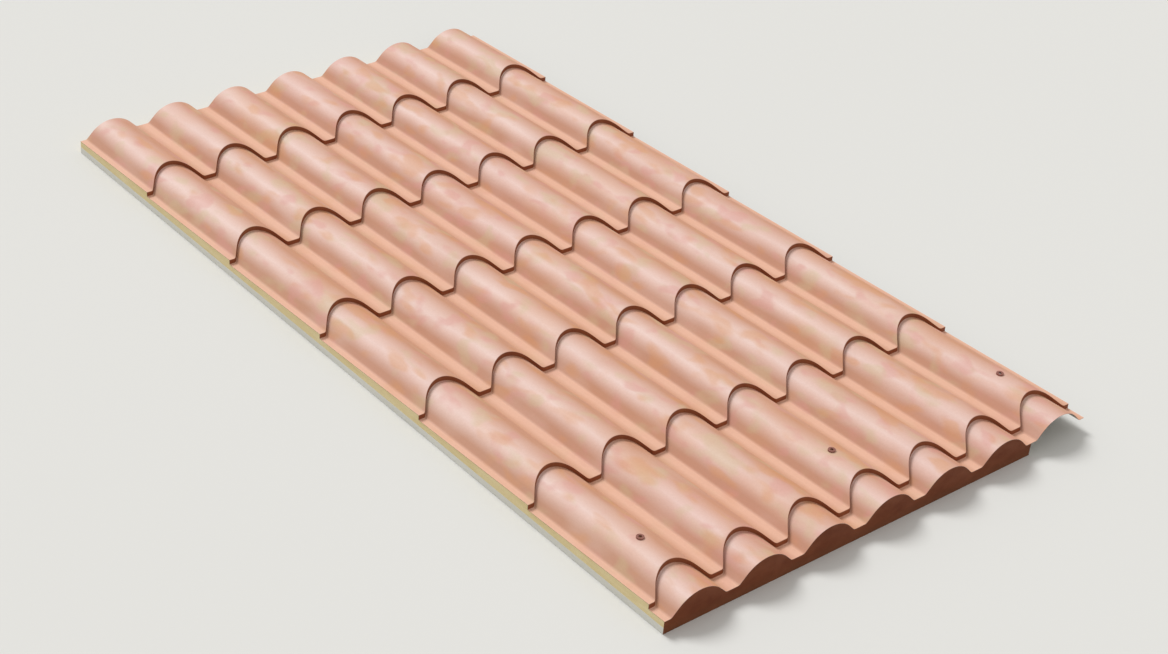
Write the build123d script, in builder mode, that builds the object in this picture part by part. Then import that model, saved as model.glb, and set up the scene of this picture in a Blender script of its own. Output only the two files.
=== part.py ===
"""Insulated tile-effect roof panel: pressed steel skin, foam core, flat liner and a closed eaves end.

Frame: +X across the ribs, +Y up the slope, +Z out of the roof. The origin is the middle of the
liner's underside, so that z = 0 is the plane that the panel lies on.
"""
import math
import os

from build123d import *

os.makedirs("parts", exist_ok=True)

# Plan sizes of the panel
cover_width = 1000.0
ribs_in_cover = 6
lap_ribs = 1
step_length = 350.0
step_count = 6
eaves_nose = 45.0

# Ribs: a crown arc between straight flanks, whose feet are drawn as sharp corners
rib_foot_width = 134.5
crown_arc_width = 103.0
rib_flank_angle = 45.0

# Steps: in plan each follows the ribs' feet and crown arcs, with its crowns set back up the slope
step_flank_angle = 51.5
step_height = 11.0

# Depth of the insulated body under the channels
core_depth = 28.0

# Sheets; the skin's is measured upright, and up the slope in the step walls
skin_thickness = 0.6
liner_thickness = 0.5
closure_thickness = 0.8

# Long edges of the insulated body
side_joint_gap = 1.0
liner_upturn = 14.0

# Shallow stiffening grooves of the liner
groove_pitch = 100.0
groove_width = 24.0
groove_depth = 1.5
groove_side_angle = 45.0

# Crown fixings in one line above the eaves
fixing_distance = 170.0
ribs_between_fixings = 3
fixing_hole = 7.0
washer_diameter = 16.0
washer_thickness = 3.0

# Reach of the cutting solids past the finished faces
overrun = 20.0


def wave_rise(flank_angle):
    """Rise of the crown over the feet, in height for the section and up the slope for a step."""
    angle = math.radians(flank_angle)
    flank_width = (rib_foot_width - crown_arc_width) / 2
    return crown_arc_width / 2 * math.tan(angle / 2) + flank_width * math.tan(angle)


# Sizes that follow from the ones above
rib_height = wave_rise(rib_flank_angle)
step_setback = wave_rise(step_flank_angle)
rib_pitch = cover_width / ribs_in_cover
rib_count = ribs_in_cover + lap_ribs
left_edge = -rib_count * rib_pitch / 2
right_edge = -left_edge
front_end = -step_count * step_length / 2
back_end = -front_end
step_slope = step_height / step_length
body_left = left_edge
body_right = left_edge + cover_width - side_joint_gap
body_front = front_end + closure_thickness
full_height = core_depth + rib_height + step_height
fixing_y = front_end + fixing_distance


def rib_x(rib):
    return left_edge + (rib + 0.5) * rib_pitch


fixing_points = [(rib_x(rib), fixing_y) for rib in range(0, rib_count, ribs_between_fixings)]


def wave_line(flank_angle, base, reach):
    """The wave across all ribs, standing on base and reaching past both edges."""
    angle = math.radians(flank_angle)
    crown_radius = crown_arc_width / 2 / math.sin(angle)
    flank_length = (rib_foot_width - crown_arc_width) / 2 / math.cos(angle)
    with BuildLine() as line:
        pen = Vector(left_edge - reach, base)
        for rib in range(rib_count):
            foot = Line(pen, (rib_x(rib) - rib_foot_width / 2, base))
            rise = PolarLine(foot @ 1, flank_length, flank_angle)
            crown = JernArc(rise @ 1, rise % 1, crown_radius, -2 * flank_angle)
            pen = PolarLine(crown @ 1, flank_length, -flank_angle) @ 1
        Line(pen, (right_edge + reach, base))
    return line.line


def tile_row(inset, reach):
    """The row above the first step, from its raised lower end to its low upper end, as a solid block.

    The inset lowers the section by a sheet and moves both step walls up the slope by the same sheet.
    """
    lower_step = front_end + eaves_nose
    upper_step = lower_step + step_length
    start_y = upper_step + step_setback + overrun
    start_level = core_depth - step_slope * (start_y - upper_step)
    depth = start_level + reach + 2 * step_height
    square_to_slope = Plane(origin=(0, start_y, start_level), x_dir=(1, 0, 0), z_dir=(0, -1, step_slope))
    with BuildPart() as row:
        with BuildSketch(square_to_slope):
            with BuildLine():
                add(wave_line(rib_flank_angle, -inset, reach))
                Polyline(
                    (left_edge - reach, -inset),
                    (left_edge - reach, -depth),
                    (right_edge + reach, -depth),
                    (right_edge + reach, -inset),
                )
            make_face()
        extrude(amount=start_y - lower_step + overrun)
        with BuildSketch(Plane.XY.offset(-reach)):
            with BuildLine():
                add(wave_line(step_flank_angle, lower_step + inset, reach))
                add(wave_line(step_flank_angle, upper_step + inset, reach))
                for side in (left_edge - reach, right_edge + reach):
                    Line((side, lower_step + inset), (side, upper_step + inset))
            make_face()
        extrude(amount=full_height + 2 * reach, mode=Mode.INTERSECT)
    return row.part


def tiled_block(inset, reach):
    """All rows as one block; the first and last rows run past the ends of the panel."""
    row = tile_row(inset, reach)
    with BuildPart() as block:
        add([Pos(0, (place - 1) * step_length, 0) * row for place in range(step_count + 1)])
    return block.part


def tray_outline(inset, rim):
    """Section of the liner's inside or outside: two upturned edges and the grooves between them."""
    groove_count = math.floor((body_right - body_left) / groove_pitch)
    middle = (body_left + body_right) / 2
    corner = inset * math.tan(math.radians(groove_side_angle / 2))
    mouth = groove_width / 2 + corner
    crest = mouth - groove_depth / math.tan(math.radians(groove_side_angle))
    points = [(body_left + inset, rim), (body_left + inset, inset)]
    for groove in range(groove_count):
        x = middle + (groove - (groove_count - 1) / 2) * groove_pitch
        points += [
            (x - mouth, inset),
            (x - crest, inset + groove_depth),
            (x + crest, inset + groove_depth),
            (x + mouth, inset),
        ]
    points += [(body_right - inset, inset), (body_right - inset, rim)]
    return points


outer_block = tiled_block(0.0, 0.0)
inner_block = tiled_block(skin_thickness, overrun)

# The skin is pressed from one sheet; its last rib on the right is hollow and laps the next panel
with BuildPart() as outer_skin:
    add(outer_block)
    split(bisect_by=Plane.XZ.offset(-front_end), keep=Keep.BOTTOM)
    split(bisect_by=Plane.XZ.offset(-back_end), keep=Keep.TOP)
    add(inner_block, mode=Mode.SUBTRACT)
    with Locations([(x, y, full_height) for x, y in fixing_points]):
        Hole(radius=fixing_hole / 2, depth=full_height)

# The liner is a shallow tray of sheet with grooves pressed up from below
with BuildPart() as liner:
    with BuildSketch(Plane.XZ.offset(-back_end)):
        with BuildLine():
            Polyline(*tray_outline(0.0, liner_upturn), close=True)
        make_face()
        with BuildLine():
            Polyline(*tray_outline(liner_thickness, liner_upturn + overrun), close=True)
        make_face(mode=Mode.SUBTRACT)
    extrude(amount=back_end - body_front)
    with Locations([(x, y, full_height) for x, y in fixing_points]):
        Hole(radius=fixing_hole / 2, depth=full_height)

# The foam fills the space between the liner and the skin, except under the hollow lap rib
with BuildPart() as foam_core:
    with BuildSketch(Plane.XZ.offset(-back_end)):
        with BuildLine():
            Polyline(*tray_outline(liner_thickness, full_height), close=True)
        make_face()
    extrude(amount=back_end - body_front)
    add(inner_block, mode=Mode.INTERSECT)
    with Locations([(x, y, full_height) for x, y in fixing_points]):
        Hole(radius=fixing_hole / 2, depth=full_height)

# The closure is a plate with a scalloped top under the skin's eaves edge
with BuildPart() as eaves_closure:
    with BuildSketch(Plane.XZ.offset(-body_front)):
        with BuildLine():
            Polyline(
                (body_left, 0),
                (body_right, 0),
                (body_right, full_height),
                (body_left, full_height),
                close=True,
            )
        make_face()
    extrude(amount=closure_thickness)
    add(inner_block, mode=Mode.INTERSECT)

# Sealing washers sit on the crowns, around the fixing holes
crown_level = core_depth + rib_height + step_slope * (front_end + eaves_nose + step_length - fixing_y)
with BuildPart() as sealing_washers:
    with BuildSketch(Plane.XY.offset(crown_level - washer_thickness)):
        with Locations(fixing_points):
            Circle(washer_diameter / 2)
            Circle(fixing_hole / 2, mode=Mode.SUBTRACT)
    extrude(amount=2 * washer_thickness)
    add(outer_block, mode=Mode.SUBTRACT)

nodes = {
    "outer_skin": outer_skin,
    "foam_core": foam_core,
    "inner_liner": liner,
    "eaves_closure": eaves_closure,
    "sealing_washers": sealing_washers,
}
for name, node in nodes.items():
    node.part.label = name
    export_step(node.part, f"parts/{name}.step")
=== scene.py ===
"""Dressed model of the insulated tile-effect roof panel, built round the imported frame.

Metres. +X runs across the ribs, +Y up the slope, +Z out of the roof; the panel lies on z = 0.
"""
import math

import bmesh
import bpy
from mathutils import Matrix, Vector


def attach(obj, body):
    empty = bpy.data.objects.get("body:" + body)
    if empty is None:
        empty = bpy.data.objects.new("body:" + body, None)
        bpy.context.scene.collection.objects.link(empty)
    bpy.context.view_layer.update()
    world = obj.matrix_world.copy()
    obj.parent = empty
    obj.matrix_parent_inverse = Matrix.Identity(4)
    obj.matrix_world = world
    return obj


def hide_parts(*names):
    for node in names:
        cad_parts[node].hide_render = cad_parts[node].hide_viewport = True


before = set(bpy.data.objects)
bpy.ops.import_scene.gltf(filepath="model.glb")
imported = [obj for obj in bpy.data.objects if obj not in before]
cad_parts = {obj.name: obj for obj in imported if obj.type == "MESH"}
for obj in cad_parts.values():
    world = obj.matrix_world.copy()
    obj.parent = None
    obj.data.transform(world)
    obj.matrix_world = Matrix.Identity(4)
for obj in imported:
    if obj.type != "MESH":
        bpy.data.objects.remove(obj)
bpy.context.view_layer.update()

# Plan sizes of the panel
PITCH = 1.0 / 6
RIB_COUNT = 7
STEP_LENGTH = 0.350
STEP_COUNT = 6
NOSE = 0.045
HALF_LENGTH = STEP_COUNT * STEP_LENGTH / 2
HALF_WIDTH = RIB_COUNT * PITCH / 2
FIRST_STEP = -HALF_LENGTH + NOSE

# Distance from the rib's middle line at which the crown arcs of the section and of the step line end
CROWN_EDGE = 0.0515

# Height of the channels at a row's upper end, where it meets the foot of the next step
CHANNEL_LEVEL = 0.028

# Rib section: crown arc, straight flanks and root arcs
RIB_FOOT = 0.07135
RIB_ROOT = 0.007
RIB_ANGLE = math.radians(45)

# Step line in plan: the same kind of wave, set back up the slope at the crowns
STEP_FOOT = 0.0720
STEP_ROOT = 0.0063
STEP_ANGLE = math.radians(51.5)
STEP_LEAD = 0.0011
STEP_HEIGHT = 0.011
SLOPE = STEP_HEIGHT / STEP_LENGTH

# Pressed sheet: its thickness, the rounding of the steps, and the angle from which an edge stays sharp
SHEET = 0.0006
EDGE_RADIUS = 0.0014
FOOT_RADIUS = 0.0024
SHARP_ANGLE = math.radians(50)

# Crown fixings
FIXING_Y = -HALF_LENGTH + 0.170
FIXING_RIBS = (0, 3, 6)
HOLE_RADIUS = 0.0035

# Parts of the mesh: across half a rib, up the slope, in each arc of a step wall, and round a hole
CROWN_PARTS = 10
FLANK_PARTS = 3
ROOT_PARTS = 8
FLAT_PARTS = 3
NOSE_PARTS = 3
ROW_PARTS = 10
ARC_PARTS = 5
HOLE_CORNERS = 32

# Reach round a hole in which the grid gives way to it, and reach over which the step line's turn is read
HOLE_CLEARING = 0.009
LEAN_REACH = 0.0008


def rib_x(rib):
    return -HALF_WIDTH + (rib + 0.5) * PITCH


def wave(across, foot, root_width, angle):
    """Rise of the wave at a distance from the rib's middle line: crown arc, flank, root arc, then flat."""
    distance = abs(across)
    crown_radius = CROWN_EDGE / math.sin(angle)
    root_radius = root_width / math.sin(angle)
    flank_foot = foot - root_width
    root_rise = root_radius * (1 - math.cos(angle))
    if distance >= foot:
        return 0.0
    if distance >= flank_foot:
        return root_radius - math.sqrt(root_radius ** 2 - (foot - distance) ** 2)
    flank_rise = root_rise + (flank_foot - max(distance, CROWN_EDGE)) * math.tan(angle)
    if distance >= CROWN_EDGE:
        return flank_rise
    return flank_rise + math.sqrt(crown_radius ** 2 - distance ** 2) - crown_radius * math.cos(angle)


def section_height(across):
    """Height of the rib section over the channel."""
    return wave(across, RIB_FOOT, RIB_ROOT, RIB_ANGLE)


def step_setback(across):
    """How far up the slope the step line lies from the step's own place."""
    return wave(across, STEP_FOOT, STEP_ROOT, STEP_ANGLE) - STEP_LEAD


def spread(start, end, parts):
    """Evenly spaced places from the start up to, but without, the end."""
    return [start + (end - start) * part / parts for part in range(parts)]


def columns():
    """(x, signed distance from the rib's middle line) of every lengthwise line of the mesh."""
    root_start = RIB_FOOT - RIB_ROOT
    half = spread(0.0, CROWN_EDGE, CROWN_PARTS)
    half += spread(CROWN_EDGE, root_start, FLANK_PARTS)
    half += spread(root_start, STEP_FOOT, ROOT_PARTS)
    half += spread(STEP_FOOT, PITCH / 2, FLAT_PARTS)
    lines = []
    for rib in range(RIB_COUNT):
        for distance in [PITCH / 2] + half[:0:-1]:
            lines.append((rib_x(rib) - distance, -distance))
        for distance in half:
            lines.append((rib_x(rib) + distance, distance))
    lines.append((HALF_WIDTH, PITCH / 2))
    return lines


def step_lean(across):
    """Cosine of the angle between the step line and the X axis."""
    rise = step_setback(across + LEAN_REACH) - step_setback(across - LEAN_REACH)
    return math.cos(math.atan2(rise, 2 * LEAN_REACH))


def surface_level(across, y, upper_step):
    """Height of the sheet's face in the row that ends at the upper step."""
    return CHANNEL_LEVEL + section_height(across) + SLOPE * (upper_step - y)


def wall_points(wall_y, low, stretch):
    """Points of a step wall: the fillet at its foot, then its rounded upper edge."""
    points = []
    for part in range(1, ARC_PARTS + 1):
        angle = math.pi / 2 * part / ARC_PARTS
        y = wall_y - FOOT_RADIUS * stretch * (1 - math.sin(angle))
        points.append((y, low + FOOT_RADIUS * (1 - math.cos(angle)), math.sin(angle)))
    high = low + STEP_HEIGHT
    for part in range(ARC_PARTS):
        angle = math.pi / 2 * part / ARC_PARTS
        y = wall_y + EDGE_RADIUS * stretch * (1 - math.cos(angle))
        points.append((y, high - EDGE_RADIUS * (1 - math.sin(angle)), math.cos(angle)))
    return points


def column_points(across):
    """(y, z, steepness) along one lengthwise line; the steepness is 1 on a wall and 0 on the rows."""
    setback = step_setback(across)
    stretch = 1 / step_lean(across)
    points = []
    start = -HALF_LENGTH
    for step in range(STEP_COUNT + 1):
        step_y = FIRST_STEP + step * STEP_LENGTH
        last = step == STEP_COUNT
        wall_y = step_y + setback
        end = HALF_LENGTH if last else wall_y - FOOT_RADIUS * stretch
        parts = NOSE_PARTS if step == 0 else ROW_PARTS
        for part in range(parts + 1):
            y = start + (end - start) * part / parts
            points.append((y, surface_level(across, y, step_y), 0.0))
        if not last:
            points += wall_points(wall_y, surface_level(across, wall_y, step_y), stretch)
            start = wall_y + EDGE_RADIUS * stretch
    return points


def hole_in_crown(bm, x, y, upper_step):
    """Opens a round hole at a crown point and joins its rim to the grid round it."""
    middle = Vector((x, y))
    near = [face for face in bm.faces if (face.calc_center_median().xy - middle).length < HOLE_CLEARING]
    border = []
    for face in near:
        for edge in face.edges:
            if sum(neighbour in near for neighbour in edge.link_faces) == 1:
                border.append(edge)
    bmesh.ops.delete(bm, geom=near, context="FACES")
    rim = []
    for corner in range(HOLE_CORNERS):
        angle = 2 * math.pi * corner / HOLE_CORNERS
        dx = HOLE_RADIUS * math.cos(angle)
        dy = HOLE_RADIUS * math.sin(angle)
        rim.append(bm.verts.new((x + dx, y + dy, surface_level(dx, y + dy, upper_step))))
    rim_edges = [bm.edges.new((rim[i - 1], rim[i])) for i in range(HOLE_CORNERS)]
    bmesh.ops.bridge_loops(bm, edges=[edge for edge in border if edge.is_valid] + rim_edges)


def build_skin():
    """The pressed surface as one grid, with its fixing holes and each point's steepness as "wall"."""
    bm = bmesh.new()
    wall_layer = bm.verts.layers.float.new("wall")
    grid = []
    for x, across in columns():
        line = []
        for y, z, wall in column_points(across):
            vert = bm.verts.new((x, y, z))
            vert[wall_layer] = wall
            line.append(vert)
        grid.append(line)
    for left, right in zip(grid, grid[1:]):
        for i in range(len(left) - 1):
            bm.faces.new((left[i], right[i], right[i + 1], left[i + 1]))
    for rib in FIXING_RIBS:
        hole_in_crown(bm, rib_x(rib), FIXING_Y, FIRST_STEP + STEP_LENGTH)
    bmesh.ops.recalc_face_normals(bm, faces=bm.faces)
    mesh = bpy.data.meshes.new("tile_skin")
    bm.to_mesh(mesh)
    bm.free()
    sheet = bpy.data.objects.new("tile_skin", mesh)
    bpy.context.scene.collection.objects.link(sheet)
    mesh.shade_smooth()
    return sheet


def finish_sheet(sheet, thickness):
    """Gives the pressed surface its thickness downwards and keeps its cut edges sharp."""
    solidify = sheet.modifiers.new("thickness", "SOLIDIFY")
    solidify.thickness = thickness
    solidify.offset = -1.0
    solidify.use_even_offset = True
    solidify.use_quality_normals = True
    solidify.material_offset = 1
    solidify.material_offset_rim = 2
    sheet.update_tag()
    bpy.context.view_layer.update()
    graph = bpy.context.evaluated_depsgraph_get()
    thick = bpy.data.meshes.new_from_object(sheet.evaluated_get(graph))
    sheet.modifiers.clear()
    sheet.data = thick
    thick.set_sharp_from_angle(angle=SHARP_ANGLE)


# Two levels between which most of a noise lies
NOISE_LOW = 0.3
NOISE_HIGH = 0.7


def linear(colour):
    """A screen colour of three 0-255 numbers as the linear colour that shaders take."""
    parts = []
    for value in colour:
        part = value / 255
        parts.append(part / 12.92 if part <= 0.04045 else ((part + 0.055) / 1.055) ** 2.4)
    return (*parts, 1.0)


class Finish:
    """A procedural material under construction, with short calls for the nodes it is made of."""

    def __init__(self, name, metallic=0.0, specular=0.5):
        self.material = bpy.data.materials.new(name)
        self.material.use_nodes = True
        self.tree = self.material.node_tree
        self.shader = self.tree.nodes["Principled BSDF"]
        self.shader.inputs["Metallic"].default_value = metallic
        self.shader.inputs["Specular IOR Level"].default_value = specular
        self.place = self.node("ShaderNodeTexCoord").outputs["Object"]

    def node(self, kind, settings=None, **inputs):
        """A new node with its settings, and with values or links in its named inputs."""
        made = self.tree.nodes.new(kind)
        for key, value in (settings or {}).items():
            setattr(made, key, value)
        for key, value in inputs.items():
            self.feed(made.inputs[key], value)
        return made

    def feed(self, socket, value):
        """Links a socket to another node's output, or sets it to a plain value."""
        if isinstance(value, bpy.types.NodeSocket):
            self.tree.links.new(value, socket)
        else:
            socket.default_value = value

    def calc(self, operation, first, second=0.0):
        made = self.node("ShaderNodeMath", {"operation": operation})
        self.feed(made.inputs[0], first)
        self.feed(made.inputs[1], second)
        return made.outputs["Value"]

    def wrap(self, value, low, high):
        """The value carried back into the range from low to high, as often as it takes."""
        made = self.node("ShaderNodeMath", {"operation": "WRAP"})
        for socket, given in zip(made.inputs, (value, high, low)):
            self.feed(socket, given)
        return made.outputs["Value"]

    def stretched(self, scale, shift=(0, 0, 0)):
        mapping = self.node("ShaderNodeMapping", Vector=self.place, Scale=scale, Location=shift)
        return mapping.outputs["Vector"]

    def noise(self, scale, detail=3.0, roughness=0.5, shift=(0, 0, 0), distortion=0.0):
        """Noise from 0 to 1; scale gives its waves per metre along x, y and z."""
        made = self.node(
            "ShaderNodeTexNoise",
            Vector=self.stretched(scale, shift),
            Scale=1.0,
            Detail=detail,
            Roughness=roughness,
            Distortion=distortion,
        )
        return made.outputs["Fac"]

    def fade(self, value, low, high, to_low=0.0, to_high=1.0):
        """A soft change from to_low to to_high while the value goes from low to high."""
        made = self.node("ShaderNodeMapRange", {"interpolation_type": "SMOOTHSTEP"}, Value=value)
        made.inputs["From Min"].default_value = low
        made.inputs["From Max"].default_value = high
        made.inputs["To Min"].default_value = to_low
        made.inputs["To Max"].default_value = to_high
        return made.outputs["Result"]

    def vary(self, noise, lowest, highest):
        """A number that a noise moves between two ends."""
        return self.fade(noise, NOISE_LOW, NOISE_HIGH, lowest, highest)

    def ramp(self, value, stops):
        """Colours along a value; stops are (place, screen colour)."""
        made = self.node("ShaderNodeValToRGB", Fac=value)
        band = made.color_ramp
        band.elements.remove(band.elements[1])
        band.elements[0].position = stops[0][0]
        band.elements[0].color = linear(stops[0][1])
        for place, colour in stops[1:]:
            band.elements.new(place).color = linear(colour)
        return made.outputs["Color"]

    def mottled(self, noise, first, second):
        """A colour that a noise moves between two screen colours."""
        return self.ramp(noise, [(NOISE_LOW, first), (NOISE_HIGH, second)])

    def blend(self, amount, base, top):
        """The top colour over the base, by an amount from 0 to 1."""
        made = self.node("ShaderNodeMix", {"data_type": "RGBA"})
        factor, base_colour, top_colour = made.inputs[0], made.inputs[6], made.inputs[7]
        self.feed(factor, amount)
        self.feed(base_colour, base)
        self.feed(top_colour, top)
        return made.outputs[2]

    def relief(self, layers):
        """Joins bumps in a row; layers are (height, distance in metres, strength)."""
        normal = None
        for height, distance, strength in layers:
            bump = self.node("ShaderNodeBump", Height=height, Distance=distance, Strength=strength)
            if normal is not None:
                self.feed(bump.inputs["Normal"], normal)
            normal = bump.outputs["Normal"]
        self.feed(self.shader.inputs["Normal"], normal)

    def colour(self, value):
        self.feed(self.shader.inputs["Base Color"], value)

    def roughness(self, value):
        self.feed(self.shader.inputs["Roughness"], value)


# Print colours by their place across the rib, with painted sheen and painted shade mixed in: a painted
# highlight on the left flank and shoulder, painted shade at the left foot and on the right shoulder
FLAT = (236, 188, 163)
LEFT_FOOT_PRINT_AND_SHADE = (203, 153, 128)
LEFT_FLANK_PRINT_AND_SHEEN = (232, 196, 183)
LEFT_SHOULDER_SHEEN = (240, 211, 202)
CROWN = (223, 181, 164)
RIGHT_SHOULDER_PRINT_AND_SHADE = (206, 151, 122)
RIGHT_FOOT = (218, 168, 140)

# Ground colours across one pitch, as shares of it from the middle of a channel to the next; they are print
# with painted sheen and painted shade in their bands
PRINT_SHADE_AND_SHEEN_BANDS = [
    (0.000, FLAT),
    (0.074, FLAT),
    (0.105, LEFT_FOOT_PRINT_AND_SHADE),
    (0.160, LEFT_FOOT_PRINT_AND_SHADE),
    (0.272, LEFT_FLANK_PRINT_AND_SHEEN),
    (0.335, LEFT_SHOULDER_SHEEN),
    (0.490, CROWN),
    (0.640, RIGHT_SHOULDER_PRINT_AND_SHADE),
    (0.930, RIGHT_FOOT),
    (1.000, FLAT),
]

# The bands wander by up to half of this to each side on the rib, and run straight beyond its feet
BAND_WANDER = 0.022
WANDER_FULL = 0.045
WANDER_GONE = 0.068

# Print colours of the clouds
PINK = (220, 154, 146)
BURNT = (196, 138, 106)
CREAM = (236, 208, 196)
MOSS = (208, 192, 148)
ORANGE = (218, 154, 98)

# Clouds in the order in which they lie on the ground: colour, waves per metre along x, y and z,
# the noise's levels at the cloud's edge and at its full strength, that strength, and the noise's shift
CLOUDS = [
    (PINK, (2.2, 1.1, 2.2), (0.45, 0.62), 0.12, (2, 5, 4)),
    (BURNT, (12, 3.5, 12), (0.50, 0.72), 0.16, (3, 1, 0)),
    (ORANGE, (10, 3.5, 10), (0.52, 0.70), 0.20, (4, 9, 6)),
    (CREAM, (14, 5, 14), (0.50, 0.72), 0.22, (9, 4, 2)),
    (PINK, (26, 15, 26), (0.54, 0.70), 0.42, (1, 8, 5)),
    (MOSS, (24, 13, 24), (0.54, 0.70), 0.36, (5, 2, 9)),
    (ORANGE, (25, 11, 25), (0.54, 0.70), 0.42, (7, 7, 1)),
]
CLOUD_DETAIL = 1.5
CLOUD_ROUGHNESS = 0.5
CLOUD_DISTORTION = 0.2

# From one distance from the rib's middle line to another the clouds sink to their strength in the channels
CLOUDS_FULL = 0.060
CLOUDS_WEAK = 0.074
CLOUDS_IN_CHANNEL = 0.3

# Fine grain of the print
GRAIN = (176, 124, 100)
GRAIN_STRENGTH = 0.10

# Dark brown painted on the step walls as their shade, and the steepness from which and at which it covers
# the print
RISER_PAINTED_SHADE = (148, 85, 51)
RISER_PAINTED_SHADE_DEEP = (132, 69, 41)
WALL_START = 0.45
WALL_FULL = 0.95

# Colours of the other coats, the cut edge, the foam and the washers
BEIGE_SHADE = (168, 162, 150)
BEIGE = (184, 178, 167)
ZINC = (150, 144, 138)
PAINT_SMEAR = (158, 112, 92)
BROWN = (122, 61, 27)
BROWN_SHADE = (106, 49, 20)
DUST = (140, 112, 78)
OFF_WHITE_SHADE = (214, 213, 205)
OFF_WHITE = (223, 222, 215)
FOAM_SHADE = (226, 205, 152)
FOAM = (238, 222, 178)
CELL_WALL = (196, 170, 112)
WASHER = (132, 80, 68)
WASHER_DUST = (158, 106, 94)

# Dust on the closure reaches this high, at this strength at its lower edge
DUST_HEIGHT = 0.025
DUST_STRENGTH = 0.25


def tile_print():
    """Aged terracotta printed on the coil: clouds drawn out along the ribs over a salmon ground, whose
    bands across the rib carry painted sheen and painted shade, with dark brown painted shade on the step
    walls.
    """
    finish = Finish("aged_terracotta_print_painted_sheen_and_shade", specular=0.3)
    across = finish.node("ShaderNodeSeparateXYZ", Vector=finish.place).outputs["X"]
    in_pitch = finish.wrap(across, -PITCH / 2, PITCH / 2)
    distance = finish.calc("ABSOLUTE", in_pitch)

    on_rib = finish.fade(distance, WANDER_FULL, WANDER_GONE, 1.0, 0.0)
    wander = finish.calc("SUBTRACT", finish.noise((7, 4, 7), detail=2), 0.5)
    wander = finish.calc("MULTIPLY", finish.calc("MULTIPLY", wander, on_rib), BAND_WANDER)
    band = finish.calc("DIVIDE", finish.calc("ADD", in_pitch, wander), PITCH)
    # Ground across the rib: print with a painted highlight on the left shoulder and painted shade at the
    # left foot and right shoulder
    tone = finish.ramp(finish.calc("ADD", band, 0.5), PRINT_SHADE_AND_SHEEN_BANDS)

    clouded = finish.fade(distance, CLOUDS_FULL, CLOUDS_WEAK, 1.0, CLOUDS_IN_CHANNEL)
    for colour, scale, (edge, full), strength, shift in CLOUDS:
        noise = finish.noise(scale, CLOUD_DETAIL, CLOUD_ROUGHNESS, shift, CLOUD_DISTORTION)
        cloud = finish.calc("MULTIPLY", finish.fade(noise, edge, full, 0.0, strength), clouded)
        tone = finish.blend(cloud, tone, linear(colour))
    grain = finish.vary(finish.noise((260, 180, 260), 4.0, 0.7), 0.0, GRAIN_STRENGTH)
    tone = finish.blend(grain, tone, linear(GRAIN))

    # Step walls: dark brown painted shade laid over the print where the sheet is steep
    wall = finish.node("ShaderNodeAttribute", {"attribute_name": "wall"}).outputs["Fac"]
    riser_painted_shade = finish.mottled(finish.noise((30, 30, 30)), RISER_PAINTED_SHADE, RISER_PAINTED_SHADE_DEEP)
    tone = finish.blend(finish.fade(wall, WALL_START, WALL_FULL), tone, riser_painted_shade)
    finish.colour(tone)
    finish.roughness(finish.vary(finish.noise((40, 12, 40)), 0.56, 0.68))
    fine_texture = finish.noise((900, 700, 900), 3.0, 0.6)
    waves = finish.noise((5, 2, 5), 2.0)
    finish.relief([(fine_texture, 0.0001, 0.35), (waves, 0.0010, 0.25)])
    return finish.material


def backing_coat():
    """Thin grey-beige coat on the underside of the printed sheet."""
    finish = Finish("backing_coat", specular=0.4)
    mottle = finish.noise((35, 12, 35), 4.0, 0.6)
    finish.colour(finish.mottled(mottle, BEIGE_SHADE, BEIGE))
    finish.roughness(finish.vary(mottle, 0.5, 0.62))
    finish.relief([(finish.noise((700, 700, 700)), 0.0001, 0.3)])
    return finish.material


def cut_edge():
    """Sheared edge of the sheet: dull zinc with thin smears of the paint."""
    finish = Finish("cut_edge", metallic=0.6)
    smear = finish.noise((120, 120, 600), 3.0, 0.6)
    finish.colour(finish.ramp(smear, [(0.40, ZINC), (0.62, PAINT_SMEAR)]))
    finish.roughness(finish.vary(smear, 0.45, 0.6))
    finish.relief([(finish.noise((900, 900, 2500), 2.0), 0.00005, 0.4)])
    return finish.material


def brown_steel():
    """Plain brown pre-painted steel of the eaves closure, dusty towards its lower edge."""
    finish = Finish("brown_paint", specular=0.25)
    height = finish.node("ShaderNodeSeparateXYZ", Vector=finish.place).outputs["Z"]
    mottle = finish.noise((25, 25, 40), 4.0, 0.6)
    tone = finish.mottled(mottle, BROWN, BROWN_SHADE)
    dust = finish.calc("MULTIPLY", finish.fade(height, DUST_HEIGHT, 0.0, 0.0, DUST_STRENGTH), mottle)
    finish.colour(finish.blend(dust, tone, linear(DUST)))
    finish.roughness(finish.vary(mottle, 0.55, 0.68))
    finish.relief([(finish.noise((800, 800, 800)), 0.0001, 0.3)])
    return finish.material


def liner_paint():
    """Grey-white polyester paint of the liner."""
    finish = Finish("liner_paint", specular=0.45)
    mottle = finish.noise((20, 6, 20), 4.0, 0.6)
    finish.colour(finish.mottled(mottle, OFF_WHITE_SHADE, OFF_WHITE))
    finish.roughness(finish.vary(mottle, 0.38, 0.5))
    finish.relief([(finish.noise((700, 700, 700)), 0.0001, 0.25)])
    return finish.material


def foam():
    """Cream rigid polyurethane foam with fine cells and flow bands."""
    finish = Finish("rigid_foam", specular=0.2)
    flow = finish.noise((14, 9, 60), 4.0, 0.6, distortion=0.6)
    spots = finish.node("ShaderNodeTexVoronoi", Vector=finish.stretched((1100, 1100, 800)), Scale=1.0)
    cells = spots.outputs["Distance"]
    tone = finish.mottled(flow, FOAM_SHADE, FOAM)
    finish.colour(finish.blend(finish.fade(cells, 0.5, 0.9, 0.0, 0.35), tone, linear(CELL_WALL)))
    finish.roughness(finish.vary(flow, 0.85, 0.95))
    finish.relief([(cells, 0.0003, 0.6), (flow, 0.0008, 0.4)])
    return finish.material


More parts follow.
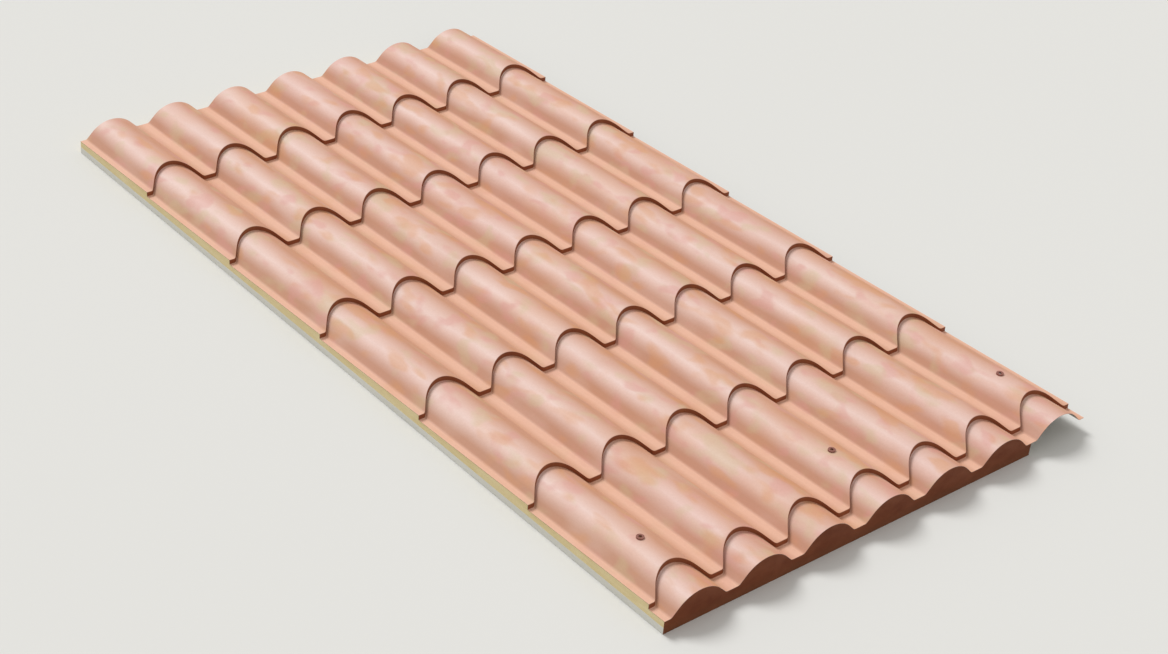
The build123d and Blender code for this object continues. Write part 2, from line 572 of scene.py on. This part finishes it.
def washer_rubber():
    """Reddish-brown sealing washer with fine dust."""
    finish = Finish("washer_rubber", specular=0.4)
    mottle = finish.noise((300, 300, 300), 3.0, 0.6)
    finish.colour(finish.ramp(mottle, [(0.35, WASHER), (0.75, WASHER_DUST)]))
    finish.roughness(finish.vary(mottle, 0.6, 0.75))
    finish.relief([(finish.noise((1500, 1500, 1500), 2.0), 0.0001, 0.4)])
    return finish.material


def paint_node(name, material):
    """Puts a material in every slot of a CAD node."""
    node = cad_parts[name]
    if not node.material_slots:
        node.data.materials.append(material)
    for slot in node.material_slots:
        slot.material = material


# Slots of the sheet: its face, its underside and its cut edges
skin = build_skin()
skin.data.materials.append(tile_print())
skin.data.materials.append(backing_coat())
skin.data.materials.append(cut_edge())
finish_sheet(skin, SHEET)
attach(skin, "root")
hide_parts("outer_skin")

paint_node("foam_core", foam())
paint_node("inner_liner", liner_paint())
paint_node("eaves_closure", brown_steel())
paint_node("sealing_washers", washer_rubber())

# Floor, a little under the panel so that the two faces don't coincide
FLOOR_REACH = 40.0
FLOOR_DROP = 0.0005
FLOOR_SHADE = (228, 228, 225)
FLOOR = (229, 229, 226)

# Light: a broad key from beyond the top end, an even fill, and the background that the camera sees
KEY_ENERGY = 1.9
KEY_ANGLE = math.radians(25)
KEY_DIRECTION = Vector((-0.05, 0.68, 0.74))
FILL = (255, 253, 250)
FILL_STRENGTH = 0.55
BACKGROUND = (240, 240, 238)

# Camera: sensor and lens in millimetres, its place in metres, and its turn in degrees
SENSOR_WIDTH = 36.0
LENS = 69.16
CLIP_NEAR = 0.05
CLIP_FAR = 120.0
CAMERA_PLACE = (-2.828, -3.201, 2.603)
CAMERA_TURN = (57.451, -4.768, -39.592)


def studio_floor():
    """Plain pale floor."""
    mesh = bpy.data.meshes.new("floor")
    corners = [(x * FLOOR_REACH, y * FLOOR_REACH, 0) for x, y in ((-1, -1), (1, -1), (1, 1), (-1, 1))]
    mesh.from_pydata(corners, [], [(0, 1, 2, 3)])
    floor = bpy.data.objects.new("floor", mesh)
    floor.location.z = -FLOOR_DROP
    bpy.context.scene.collection.objects.link(floor)
    paper = Finish("floor_paper", specular=0.1)
    paper.colour(paper.mottled(paper.noise((0.6, 0.6, 0.6), 1.0), FLOOR_SHADE, FLOOR))
    paper.roughness(0.9)
    mesh.materials.append(paper.material)


def key_light():
    """Soft light from beyond the top end."""
    key = bpy.data.lights.new("key", "SUN")
    key.energy = KEY_ENERGY
    key.angle = KEY_ANGLE
    lamp = bpy.data.objects.new("key", key)
    lamp.rotation_euler = KEY_DIRECTION.to_track_quat("Z", "Y").to_euler()
    bpy.context.scene.collection.objects.link(lamp)


def fill_and_background():
    """Even fill from all round, with a plain background where the camera or a reflection sees it."""
    world = bpy.data.worlds.new("studio")
    bpy.context.scene.world = world
    world.use_nodes = True
    tree = world.node_tree
    fill = tree.nodes["Background"]
    fill.inputs["Color"].default_value = linear(FILL)
    fill.inputs["Strength"].default_value = FILL_STRENGTH
    background = tree.nodes.new("ShaderNodeBackground")
    background.inputs["Color"].default_value = linear(BACKGROUND)
    rays = tree.nodes.new("ShaderNodeLightPath")
    seen = rays.outputs["Is Camera Ray"]
    for kind in ("Is Transmission Ray", "Is Glossy Ray"):
        either = tree.nodes.new("ShaderNodeMath")
        either.operation = "ADD"
        either.use_clamp = True
        tree.links.new(seen, either.inputs[0])
        tree.links.new(rays.outputs[kind], either.inputs[1])
        seen = either.outputs["Value"]
    mix = tree.nodes.new("ShaderNodeMixShader")
    tree.links.new(seen, mix.inputs[0])
    tree.links.new(fill.outputs["Background"], mix.inputs[1])
    tree.links.new(background.outputs["Background"], mix.inputs[2])
    tree.links.new(mix.outputs["Shader"], tree.nodes["World Output"].inputs["Surface"])


def photo_camera():
    """The photograph's viewing angle and lens, moved back until the whole panel is in the frame."""
    camera = bpy.data.cameras.new("camera")
    camera.sensor_width = SENSOR_WIDTH
    camera.lens = LENS
    camera.clip_start = CLIP_NEAR
    camera.clip_end = CLIP_FAR
    holder = bpy.data.objects.new("camera", camera)
    holder.location = CAMERA_PLACE
    holder.rotation_euler = [math.radians(angle) for angle in CAMERA_TURN]
    bpy.context.scene.collection.objects.link(holder)
    bpy.context.scene.camera = holder


studio_floor()
key_light()
fill_and_background()
photo_camera()
bpy.context.scene.view_settings.view_transform = "Standard"
